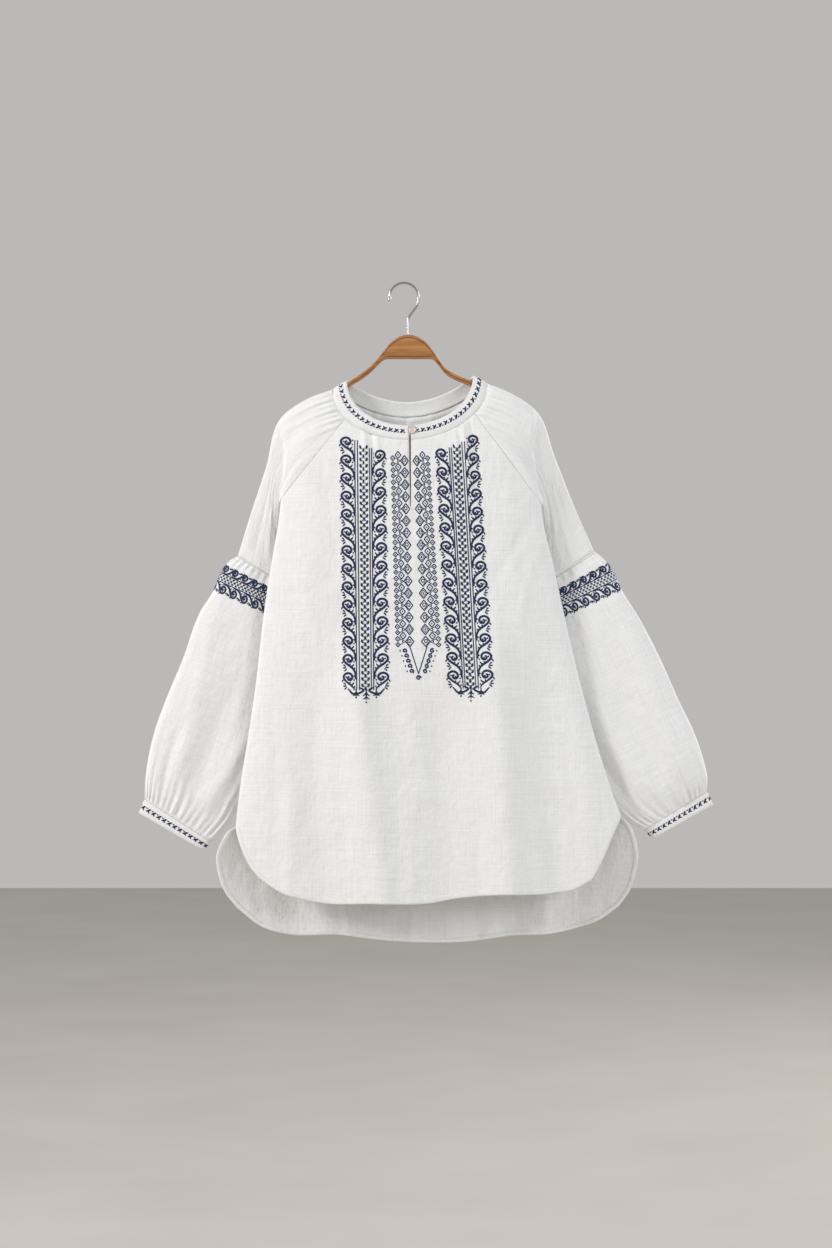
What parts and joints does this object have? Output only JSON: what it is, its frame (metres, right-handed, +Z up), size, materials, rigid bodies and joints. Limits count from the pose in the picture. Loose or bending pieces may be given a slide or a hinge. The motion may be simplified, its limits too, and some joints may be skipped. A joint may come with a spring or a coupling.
{
  "type": "blouse on a hanger",
  "caption": "White linen peasant blouse with raglan balloon sleeves, a slit neck, navy embroidered bands and a shirt-tail hem, hanging on a wooden hanger with a steel hook.",
  "frame": {"origin": "inside top of the hanger's hook, where a rail holds it", "axes": "+Z is up, the front of the blouse looks along -Y, +X is to the right as seen from the front"},
  "size_m": [0.8652, 0.0891, 0.9933],
  "materials": {
    "linen": "plain woven",
    "pearl": "pearly",
    "wood": "satin varnish",
    "steel": "bright"
  },
  "bodies": {
    "root": {"front_panel": "linen", "back_panel": "linen", "upper_sleeve_left": "linen", "upper_sleeve_right": "linen", "lower_sleeve_left": "linen", "lower_sleeve_right": "linen", "cuff_left": "linen", "cuff_right": "linen", "neckband": "linen", "button": "pearl", "hanger": "wood", "hanger_hook": "steel"}
  },
  "joints": []
}
